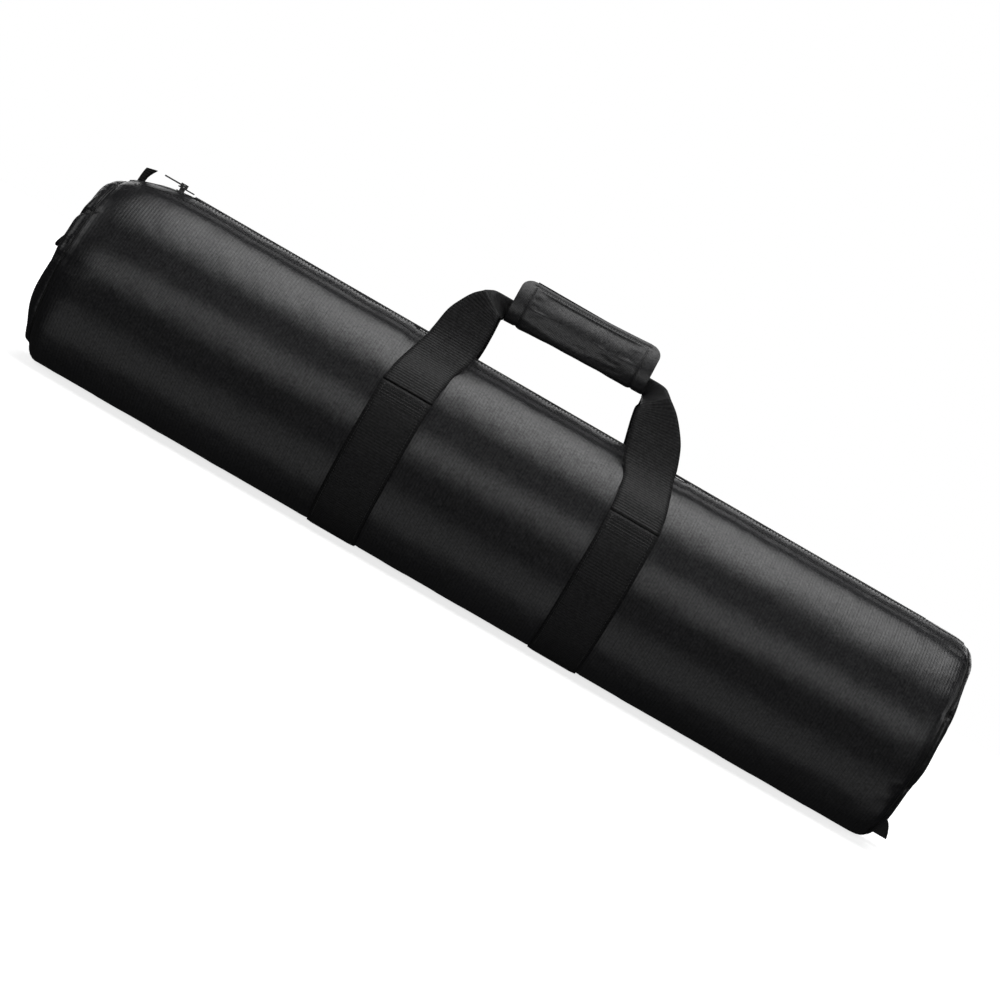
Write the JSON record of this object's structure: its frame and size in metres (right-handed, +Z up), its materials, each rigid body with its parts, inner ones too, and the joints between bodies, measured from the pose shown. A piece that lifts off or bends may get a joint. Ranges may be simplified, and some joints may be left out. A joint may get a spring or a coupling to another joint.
{
  "type": "padded telescope carry case",
  "caption": "Padded tube bag with a full-length top zip, two lips that fold open, webbing straps and a wrapped carry grip, for a telescope tube.",
  "frame": {"origin": "on the surface the bag rests on, under the middle of the bag", "axes": "+X along the tube towards the end with the low webbing tab, +Z up, -Y towards the front"},
  "size_m": [0.9464, 0.2124, 0.2973],
  "materials": {
    "cover_fabric": "ribbed woven polyester, slight sheen",
    "foam": "closed-cell foam",
    "lining": "smooth woven lining",
    "grip_fabric": "woven polyester, slight sheen",
    "webbing": "matte ribbed webbing",
    "thread": "matte thread",
    "touch_fastener": "matte hook and loop pile",
    "zip_tape": "matte woven tape",
    "zip_coil": "satin nylon coil",
    "zip_metal": "satin black enamel",
    "ring_metal": "satin black enamel"
  },
  "bodies": {
    "root": {"lower_cover": "cover_fabric", "bottom_foam": "foam", "front_foam_1": "foam", "front_foam_2": "foam", "front_foam_3": "foam", "front_foam_4": "foam", "rear_foam_1": "foam", "rear_foam_2": "foam", "rear_foam_3": "foam", "rear_foam_4": "foam", "left_shoulder_foam": "foam", "right_shoulder_foam": "foam", "lower_lining": "lining", "left_end_cover": "cover_fabric", "left_end_foam": "foam", "left_end_lining": "lining", "right_end_cover": "cover_fabric", "right_end_foam": "foam", "right_end_lining": "lining", "left_seam_binding": "zip_tape", "right_seam_binding": "zip_tape", "left_zip_end_patch": "cover_fabric", "right_zip_end_patch": "cover_fabric", "left_zip_end_tab": "webbing", "left_body_strap": "webbing", "right_body_strap": "webbing", "strap_bartacks": "thread", "left_d_ring_loop": "webbing", "right_d_ring_loop": "webbing", "right_end_tab": "webbing"},
    "front_lip": {"front_lip_cover": "cover_fabric", "front_lip_foam_lower": "foam", "front_lip_foam_upper": "foam", "front_lip_foam_left": "foam", "front_lip_foam_right": "foam", "front_lip_lining": "lining", "front_zip_tape": "zip_tape", "front_zip_coil": "zip_coil"},
    "rear_lip": {"rear_lip_cover": "cover_fabric", "rear_lip_foam_lower": "foam", "rear_lip_foam_upper": "foam", "rear_lip_foam_left": "foam", "rear_lip_foam_right": "foam", "rear_lip_lining": "lining", "rear_zip_tape": "zip_tape", "rear_zip_coil": "zip_coil"},
    "front_handle": {"front_handle_webbing": "webbing"},
    "rear_handle": {"rear_handle_webbing": "webbing", "grip_back_cover": "grip_fabric", "grip_back_foam": "foam", "grip_loop_strip": "touch_fastener"},
    "grip_flap": {"grip_flap_cover": "grip_fabric", "grip_flap_foam": "foam", "grip_hook_strip": "touch_fastener"},
    "zip_slider": {"zip_slider": "zip_metal"},
    "zip_pull": {"zip_pull": "zip_metal"},
    "left_d_ring": {"left_d_ring": "ring_metal"},
    "right_d_ring": {"right_d_ring": "ring_metal"}
  },
  "joints": [
    {"name": "front_lip_hinge", "type": "hinge", "parent": "root", "child": "front_lip", "pos_m": [0, -0.09403, 0.15178], "axis": [1, 0, 0], "range_deg": [0, 110]},
    {"name": "rear_lip_hinge", "type": "hinge", "parent": "root", "child": "rear_lip", "pos_m": [0, 0.09403, 0.15178], "axis": [-1, 0, 0], "range_deg": [0, 110]},
    {"name": "front_handle_hinge", "type": "hinge", "parent": "front_lip", "child": "front_handle", "pos_m": [0, -0.09403, 0.15178], "axis": [1, 0, 0], "range_deg": [0, 65]},
    {"name": "rear_handle_hinge", "type": "hinge", "parent": "rear_lip", "child": "rear_handle", "pos_m": [0, 0.09403, 0.15178], "axis": [-1, 0, 0], "range_deg": [0, 65]},
    {"name": "grip_flap_hinge", "type": "hinge", "parent": "rear_handle", "child": "grip_flap", "pos_m": [0, 0.0033, 0.25138], "axis": [1, 0, 0], "range_deg": [0, 115], "deforming": ["grip_flap_cover", "grip_flap_foam"]},
    {"name": "zip_slider_slide", "type": "slide", "parent": "root", "child": "zip_slider", "axis": [1, 0, 0], "range_m": [0, 0.802]},
    {"name": "zip_pull_hinge", "type": "hinge", "parent": "zip_slider", "child": "zip_pull", "pos_m": [-0.3945, 0, 0.20908], "axis": [0, 1, 0], "range_deg": [0, 150]},
    {"name": "left_d_ring_hinge", "type": "hinge", "parent": "root", "child": "left_d_ring", "pos_m": [-0.462, 0, 0.12178], "axis": [0, 1, 0], "range_deg": [0, 110]},
    {"name": "right_d_ring_hinge", "type": "hinge", "parent": "root", "child": "right_d_ring", "pos_m": [0.462, 0, 0.12178], "axis": [0, -1, 0], "range_deg": [0, 135]}
  ]
}
